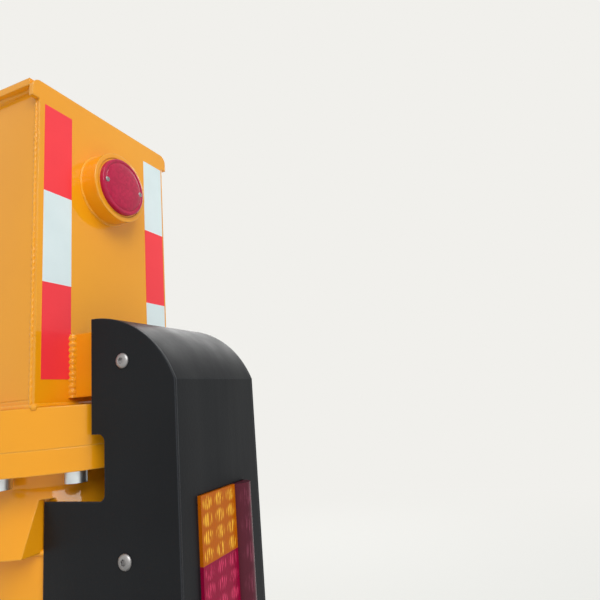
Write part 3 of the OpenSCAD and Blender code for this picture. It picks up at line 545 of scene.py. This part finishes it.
# The gland: a turned and ground steel ring that closes the tube's foot round the chromed leg. It
# is held from below by twelve black socket screws.
coat(ground_steel, "jack_gland")
gland_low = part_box("jack_gland")[0]
gland_screw_r = 0.119
gland_screws = bmesh.new()
for turn in range(15, 375, 30):
    spoke = Vector((math.cos(math.radians(turn)), math.sin(math.radians(turn)), 0))
    turn_up(gland_screws, Vector((jack.x, jack.y, gland_low.z)) + spoke * gland_screw_r, (0, 0, -1),
            [(11, -1), (11, 12), (10, 13), (6, 13, 6), (6, 7, 6)])
# Black oxide: a soft, oily charcoal with a dim shine. Its grain is drawn 1.5 mm wide to show.
black_oxide = bright("black_oxide_steel", "#3A3B3E", 0.38, 0.0015, (1, 1, 1), "#4C4A48")
settle("gland_screws", "arm", "steel", gland_screws, black_oxide)

# The leg and its foot: a steel tube that ends in a ball, hard-chromed and ground smooth, and a
# cast steel foot, hot-dip galvanised, whose ring closes over the ball.
# Hard chrome: a cold mirror, barely streaked by grinding lines, which are drawn 4 mm apart to show.
chrome = bright("hard_chrome", "#E0E3E5", 0.11, 0.004, (1, 1, 0.05), "#DADDE0", relief=0.02, blotch=0.15)
coat(chrome, "leg_tube", "leg_foot", "swing_rod")
# Galvanised casting: a mottled blue-grey with zinc flowers about 6 mm across.
galvanised = bright("galvanised_casting", "#BCC4CA", 0.30, 0.006, (1, 1, 1), "#99A1A8")
coat(galvanised, "foot_ring", "foot_sole")

# The swing cylinder: a honed tube and a screwed gland, sprayed black, with a chromed rod. Its pins
# run in flame-cut ears, and its two oil ports are closed with hexagon plugs.
rod_ear_low, rod_ear_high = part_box("rod_ear_top")
pin_head_h = 0.008
rod_eye_r = 0.042
port_root = 0.040
port_spots = (0.085, 0.630)
# Satin black enamel: a blue-black with a soft sheen along the barrel, and greyer edges that are
# partly thin paint and partly a painted highlight.
black = enamel("satin_black_enamel", "#18191D", "#202226", "#3A3D42", 0.40, 0.15, 0.15, under=0.3)
coat(black, "swing_barrel", "swing_gland")
coat(yellow, "rod_ear_top", "rod_ear_bottom")
weld("rod_ear_welds", "arm", [
    straight((rod_ear_low.x, inner_high.y, side * z), (rod_ear_high.x, inner_high.y, side * z),
             (0, 1, side * lean))
    for side in (1, -1) for z, lean in ((rod_ear_low.z, -1), (rod_ear_high.z - pin_head_h, 1))
], throat=0.007, pitch=0.011)
rod_pin = Vector(((rod_ear_low.x + rod_ear_high.x) / 2, rod_ear_high.y - rod_eye_r, rod_ear_high.z))
rod_nipple = bmesh.new()
turn_up(rod_nipple, rod_pin, (0, 0, 1), nipple, 16)
settle("rod_pin_nipple", "arm", "zinc", rod_nipple, zinc)
along_cylinder = Vector((rod_pin.x - ear_pin_at.x, rod_pin.y - ear_pin_at.y, 0)).normalized()
ports = bmesh.new()
for reach in port_spots:
    turn_up(ports, Vector((ear_pin_at.x, ear_pin_at.y, port_root)) + along_cylinder * reach, (0, 0, 1),
            [(15, -4), (15, 14), (14, 15), (12, 15, 6), (12, 24, 6), (10.5, 25, 6)])
settle("cylinder_ports", "cylinder_barrel", "black_paint", ports, black, zinc)

# Hydraulic pipes on the beam's inner side: cold-drawn steel tube, bent cold, which comes out of the
# plate and goes back in. Each root is sealed with a thin weld and sprayed over with the beam.
coat(yellow, "pipe_front", "pipe_rear")
pipe_r = 0.008
pipe_roots = []
for name in ("pipe_front", "pipe_rear"):
    pipe_low, pipe_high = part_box(name)
    for z in (pipe_low.z + pipe_r, pipe_high.z - pipe_r):
        pipe_roots.append(circle_run(((pipe_low.x + pipe_high.x) / 2, inner_high.y, z), pipe_r + 0.001,
                                     (0, 1, 0), 1, step=0.002))
weld("pipe_root_welds", "arm", pipe_roots, throat=0.003, pitch=0.005)

# The side plug: a round moulded rubber button, pressed into the inspection hole in the beam's
# inner side plate. It is of the same rubber as the hose below it.
plug_ahead = 0.648
plug_z = 0.020


def matte(name, body, shade, roughness, grain):
    """Rubber or moulded plastic: a matte dark skin with a fine grain, grain metres apart."""
    finish = bpy.data.materials.new(name)
    finish.use_nodes = True
    shader = finish.node_tree.nodes["Principled BSDF"]
    place = node(finish, "ShaderNodeTexCoord").outputs["Object"]
    # Dust lies in patches about 50 mm across.
    dust = node(finish, "ShaderNodeTexNoise", {"Vector": place, "Scale": 1 / 0.05, "Detail": 5.0})
    blot = node(finish, "ShaderNodeMapRange", {"Value": dust.outputs[0], "From Min": 0.4, "From Max": 0.7})
    tone = node(finish, "ShaderNodeMix", {0: blot.outputs[0], 6: linear(body), 7: linear(shade)},
                data_type="RGBA")
    finish.node_tree.links.new(tone.outputs[2], shader.inputs["Base Color"])
    shader.inputs["Roughness"].default_value = roughness
    pores = node(finish, "ShaderNodeTexNoise", {"Vector": place, "Scale": 1 / grain, "Detail": 2.0})
    bumps = node(finish, "ShaderNodeBump", {"Height": pores.outputs[0], "Strength": 0.3, "Distance": 0.0003})
    finish.node_tree.links.new(bumps.outputs[0], shader.inputs["Normal"])
    return finish


# Rubber: a dusty soft black. The weave of the cloth, 1.5 mm wide, breaks up its shine.
rubber = matte("hose_rubber", "#18181A", "#2A2A2B", 0.55, 0.0015)
plug = bmesh.new()
turn_up(plug, (end_high.x - plug_ahead, inner_high.y, plug_z), (0, 1, 0),
        [(13, -1), (13, 1.5), (11, 3), (4, 3.6)])
settle("side_plug", "arm", "rubber", plug, rubber)

# The jack's hose: rubber over wire braid with a cloth-wrapped skin, and a steel ferrule crimped on
# at each end. It hangs from the fitting under the beam, bends to the rear and runs round to the
# port on the collar.
hose_r = 0.009
hose_bend = 0.074
hose_ring = 0.150115
union_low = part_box("hose_union")[0]
hose_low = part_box("jack_hose")[0]
hose_z = hose_low.z + hose_r
coat(zinc, "hose_port", "hose_union")
riser = Vector((hose_low.x + hose_r, jack.y + hose_ring, union_low.z))
route = [riser + Vector((0, 0, -0.008 * i)) for i in range(3)]
route += [Vector((riser.x + hose_bend * (1 - math.cos(turn)), riser.y,
                  hose_z + hose_bend * (1 - math.sin(turn))))
          for turn in (math.radians(90 * i / 12) for i in range(13))]
route += [Vector((riser.x + hose_bend + (jack.x - riser.x - hose_bend) * i / 8, riser.y, hose_z))
          for i in range(1, 9)]
route += [Vector((jack.x + hose_ring * math.sin(turn), jack.y + hose_ring * math.cos(turn), hose_z))
          for turn in (math.radians(24 * i / 6) for i in range(1, 7))]
line = bpy.data.curves.new("leg_hose", "CURVE")
line.dimensions = "3D"
line.bevel_depth = hose_r
line.bevel_resolution = 6
line.use_fill_caps = True
line.splines.new("POLY").points.add(len(route) - 1)
for point, at in zip(line.splines[0].points, route):
    point.co = (*at, 1)
line.materials.append(rubber)
hose = bpy.data.objects.new("leg_hose", line)
scene.collection.objects.link(hose)
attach(hose, "arm")
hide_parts("jack_hose")
ferrules = bmesh.new()
crimp = [(10, 0), (12, 1), (12, 6), (11, 7), (12, 8), (12, 13), (11, 14), (12, 15), (12, 20),
         (11, 21), (12, 22), (12, 25), (9.6, 27)]
turn_up(ferrules, route[0], (0, 0, -1), crimp)
turn_up(ferrules, route[-1], route[-3] - route[-1], crimp)
ferrule = settle("hose_ferrules", "arm", "zinc", ferrules, zinc)

# The reflector: a round acrylic lens, moulded with a raised rim and prisms at its back. It lies on
# a painted seat in a steel cup, which is welded to the end plate, and two small screws hold it.
coat(yellow, "reflector_cup")
cup_low, cup_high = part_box("reflector_cup")
refl_low, refl_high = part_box("reflector_lens")
rim_down = 0.0005
refl_screw_y = 0.0415
refl_screw_x = 0.0082
# Moulded red acrylic: a deep raspberry, painted lighter or deeper from cell to cell as glints. The
# prisms, 4 mm wide, are drawn a little coarser than real ones.
reflector_red = bpy.data.materials.new("moulded_red_acrylic")
reflector_red.use_nodes = True
lens_shader = reflector_red.node_tree.nodes["Principled BSDF"]
lens_place = node(reflector_red, "ShaderNodeTexCoord").outputs["Object"]
prisms = node(reflector_red, "ShaderNodeTexVoronoi", {"Vector": lens_place, "Scale": 1 / 0.004,
                                                      "Randomness": 0.1})
# Painted glints: each prism cell gets its own lighter or deeper red.
glints = node(reflector_red, "ShaderNodeSeparateXYZ", {0: prisms.outputs["Color"]})
depths = node(reflector_red, "ShaderNodeTexNoise", {"Vector": lens_place, "Scale": 1 / 0.05, "Detail": 2.0})
lens_mix = node(reflector_red, "ShaderNodeMath", {0: glints.outputs[0], 1: depths.outputs[0]},
                operation="MULTIPLY")
lens_tone = node(reflector_red, "ShaderNodeMix", {0: lens_mix.outputs[0], 6: linear("#A80C3C"),
                                                  7: linear("#C81A4A")}, data_type="RGBA")
reflector_red.node_tree.links.new(lens_tone.outputs[2], lens_shader.inputs["Base Color"])
lens_shader.inputs["Roughness"].default_value = 0.16
lens_shader.inputs["Specular IOR Level"].default_value = 0.3
lens_bumps = node(reflector_red, "ShaderNodeBump", {"Height": prisms.outputs["Distance"], "Strength": 0.12,
                                                    "Distance": 0.0004})
reflector_red.node_tree.links.new(lens_bumps.outputs[0], lens_shader.inputs["Normal"])
weld("cup_weld", "arm", [circle_run((end_high.x, (cup_low.y + cup_high.y) / 2, (cup_low.z + cup_high.z) / 2),
                                    (cup_high.y - cup_low.y) / 2, (1, 0, 0), 1)], throat=0.003, pitch=0.007)
lens_at = Vector((cup_high.x - rim_down, (refl_low.y + refl_high.y) / 2, (refl_low.z + refl_high.z) / 2))
seat = bmesh.new()
turn_up(seat, lens_at, (1, 0, 0), [(54.3, -25), (54.3, -0.4), (53.9, 0)], 72)
settle("reflector_seat", "arm", "paint", seat, yellow)
dome = bmesh.new()
turn_up(dome, lens_at, (1, 0, 0), [
    (51.5, -1), (51.5, 6.2), (51.1, 7.1), (50.2, 7.8), (48.6, 8.2), (46.6, 8.3), (45.6, 7.8),
    (45.0, 7.2), (43.8, 7.2), (43.2, 7.8), (42.2, 8.4), (36, 9.2), (28, 9.9), (20, 10.3),
    (12, 10.5), (4, 10.6)], 72)
reflector = settle("reflector_dome", "arm", "red_lens", dome, reflector_red)
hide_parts("reflector_lens")
refl_screws = bmesh.new()
for side in (-1, 1):
    turn_up(refl_screws, lens_at + Vector((refl_screw_x, side * refl_screw_y, 0)), (1, 0, 0),
            [(4.6, -1), (4.6, 0.5), (3.8, 1.3), (2.8, 1.8), (1.4, 1.8, 6), (1.4, 0.8, 6)], 18)
# Weathered zinc: dull grey with a faint metal shine. Its powdery bloom is drawn 1.2 mm wide to show.
dull_zinc = bright("weathered_zinc", "#A6A4A4", 0.46, 0.0012, (1, 1, 1), "#8B8A8B")
settle("reflector_screws", "arm", "zinc", refl_screws, dull_zinc)

# Reflective tape: two strips of film stuck upright on the end plate, in blocks of red and white.
# Each strip is one piece, cut from a printed roll and rubbed down on to the paint.
block = 0.150
block_rows = 12
tape_w = 0.055
tape_foot = -0.187
face = end_high.x
# White film: a cool white with a faint blue, like paper in shade.
white_film = film("white_reflective_film", "#DCE9EA", "#CFDEDF")
# Each strip: its name, its outer edge, and its blocks from the foot up, 1 for red and 0 for white.
for tape_name, tape_edge, order in (("tape_outer", -0.2688, (1, 0, 1)),
                                    ("tape_inner", -0.0296, (0, 1, 0))):
    tape = bmesh.new()
    rows = []
    for i in range(len(order) * block_rows + 1):
        z = tape_foot + i * block / block_rows
        rows.append([tape.verts.new((face + lift, tape_edge + tape_w * k / 4, z))
                     for lift, ks in ((film_t, range(5)), (-film_t / 4, range(4, -1, -1))) for k in ks])
    for i, (here, there) in enumerate(zip(rows, rows[1:])):
        for k in range(10):
            after = (k + 1) % 10
            patch = tape.faces.new((here[k], here[after], there[after], there[k]))
            patch.material_index = order[i // block_rows]
    tape.faces.new(rows[0][::-1]).material_index = order[0]
    tape.faces.new(rows[-1]).material_index = order[-1]
    settle(tape_name, "arm", "paint", tape, white_film, red_film, smooth=False)

# The lamp guard: two side sheets and a back of 4 mm steel with a rolled top, welded inside and
# powder-coated. Dome-headed screws hold it to the round bars of two yellow stays, which are welded
# to the end plate and to the jack's tube.
stay_low, stay_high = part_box("guard_stay_upper")
low_stay_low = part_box("guard_stay_lower")[0]
sheet_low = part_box("guard_side_outer")[0]
far_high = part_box("guard_side_inner")[1]
# The stay plates' inner and outer faces, from the guard's middle, and half the lower plate.
stay_inner = 0.077
stay_outer = 0.085
low_stay_half = 0.004
# The bars' places: behind the end plate, over the box's foot, and below the collar.
bar_back = 0.124
bar_over = 0.057
bar_under = 0.006
coat(yellow, "guard_stay_upper", "guard_stay_lower")
# Powder coat: a blue-black, matte and a little gritty, that greys along its edges, partly as thin
# coat and partly as a painted highlight.
powder = enamel("satin_black_powder_coat", "#101115", "#17191C", "#4A4D52", 0.44, 0.5, 0.0, under=0.15)
coat(powder, "guard_side_outer", "guard_side_inner", "guard_back")
stay_runs = []
for y, away in ((stay_inner, -1), (stay_outer, 1)):
    for side in (-1, 1):
        stay_runs.append(straight((end_high.x, jack.y + side * y, stay_high.z),
                                  (end_high.x, jack.y + side * y, stay_low.z),
                                  (1, side * away, 0), step=0.0012))
for side in (-1, 1):
    stay_runs.append(straight((jack.x + tube_r, jack.y + side * low_stay_half, low_stay_low.z),
                              (jack.x + tube_r, jack.y + side * low_stay_half, collar_low.z - 0.001),
                              (1, side, 0), step=0.0012))
weld("stay_welds", "arm", stay_runs, throat=0.0082, pitch=0.0095, depth=0.36, trail=0.55)
button = [(11.2, -1), (11.2, 0.8), (10.6, 2.0), (9.2, 3.2), (7.2, 4.0), (4.2, 4.2, 6), (4.0, 0.6, 6)]
guard_screws = bmesh.new()
for y, way in ((sheet_low.y, -1), (far_high.y, 1)):
    for z in (foot_of_box + bar_over, collar_low.z - bar_under):
        turn_up(guard_screws, (end_high.x + bar_back, y, z), (0, way, 0), button)
settle("guard_screws", "arm", "zinc", guard_screws, dull_zinc)

# The lamp: a moulded black ABS body behind the guard's back sheet, with a lip that bears on the
# sheet. Three acrylic lenses and a round-fronted side marker come out through the window.
# Moulded ABS: an even, slightly greasy black. Its spark-eroded grain is drawn 1 mm wide to show.
abs_black = matte("moulded_black_abs", "#15161A", "#1E2024", 0.45, 0.001)
coat(abs_black, "lamp_housing")


def lamp_lens(name, body, spot, dotted, columns, rows):
    """Moulded acrylic over small lamps: a bright spot painted in each cell as a glint, broken up behind
    upright flutes.
    """
    finish = bpy.data.materials.new(name)
    finish.use_nodes = True
    shader = finish.node_tree.nodes["Principled BSDF"]
    low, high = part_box(dotted)
    place = node(finish, "ShaderNodeTexCoord").outputs["Object"]
    split = node(finish, "ShaderNodeSeparateXYZ", {0: place})
    offsets = []
    for axis, start, pitch in (("Y", low.y, (high.y - low.y) / columns),
                               ("Z", low.z, (high.z - low.z) / rows)):
        shift = node(finish, "ShaderNodeMath", {0: split.outputs[axis], 1: -start}, operation="ADD")
        count = node(finish, "ShaderNodeMath", {0: shift.outputs[0], 1: 1 / pitch}, operation="MULTIPLY")
        part = node(finish, "ShaderNodeMath", {0: count.outputs[0]}, operation="FRACT")
        offsets.append(node(finish, "ShaderNodeMath", {0: part.outputs[0], 1: 0.5}, operation="SUBTRACT"))
    offset = node(finish, "ShaderNodeCombineXYZ", {0: offsets[0].outputs[0], 1: offsets[1].outputs[0]})
    away = node(finish, "ShaderNodeVectorMath", {0: offset.outputs[0]}, operation="LENGTH")
    # The painted glint is brightest at each cell's middle and fades out towards its edge.
    painted_glint_falloff = node(finish, "ShaderNodeMapRange", {"Value": away.outputs["Value"], "From Min": 0.22,
                                               "From Max": 0.50, "To Min": 1.0, "To Max": 0.0},
                interpolation_type="SMOOTHSTEP")
    # The flutes are 5 mm apart, twice the real distance, so that they show.
    half_flute = 0.0025
    flute = node(finish, "ShaderNodeMath", {0: split.outputs["Y"], 1: half_flute}, operation="PINGPONG")
    ribs = node(finish, "ShaderNodeMath", {0: flute.outputs[0], 1: 1 / half_flute}, operation="MULTIPLY")
    # The flutes draw each painted glint out into streaks 2.3 mm wide and 17 mm long.
    drawn = node(finish, "ShaderNodeMapping", {"Vector": place, "Scale": (430, 430, 60)})
    broken = node(finish, "ShaderNodeTexNoise", {"Vector": drawn.outputs[0], "Scale": 1.0, "Detail": 3.0})
    streak = node(finish, "ShaderNodeMapRange", {"Value": broken.outputs[0], "From Min": 0.44,
                                                 "From Max": 0.56})
    ridge = node(finish, "ShaderNodeMapRange", {"Value": ribs.outputs[0], "From Min": 0.25, "From Max": 0.85,
                                                "To Min": 0.25})
    streaks = node(finish, "ShaderNodeMath", {0: streak.outputs[0], 1: ridge.outputs[0]},
                   operation="MULTIPLY")
    lit = node(finish, "ShaderNodeMath", {0: painted_glint_falloff.outputs[0], 1: streaks.outputs[0]}, operation="MULTIPLY")
    tone = node(finish, "ShaderNodeMix", {0: lit.outputs[0], 6: linear(body), 7: linear(spot)},
                data_type="RGBA")
    finish.node_tree.links.new(tone.outputs[2], shader.inputs["Base Color"])
    shader.inputs["Roughness"].default_value = 0.22
    shader.inputs["Specular IOR Level"].default_value = 0.08
    shader.inputs["Coat Weight"].default_value = 0.05
    shader.inputs["Coat Roughness"].default_value = 0.06
    bumps = node(finish, "ShaderNodeBump", {"Height": ribs.outputs[0], "Strength": 0.25, "Distance": 0.0006})
    finish.node_tree.links.new(bumps.outputs[0], shader.inputs["Normal"])
    return finish


# Coloured acrylic: amber like dark honey with painted gold glints, a raspberry red with pink ones, a
# greyed clear, and a marker so dark a red that its painted glints only just show.
coat(lamp_lens("amber_acrylic", "#B45A00", "#FFC43A", "lamp_amber", 3, 4), "lamp_amber")
coat(lamp_lens("red_acrylic", "#8C0834", "#E0406A", "lamp_red", 3, 8), "lamp_red")
coat(lamp_lens("clear_acrylic", "#B4BABD", "#F2F5F6", "lamp_clear", 3, 4), "lamp_clear")
coat(lamp_lens("dark_red_acrylic", "#54222E", "#7C3A4C", "lamp_strip", 1, 9), "lamp_strip")
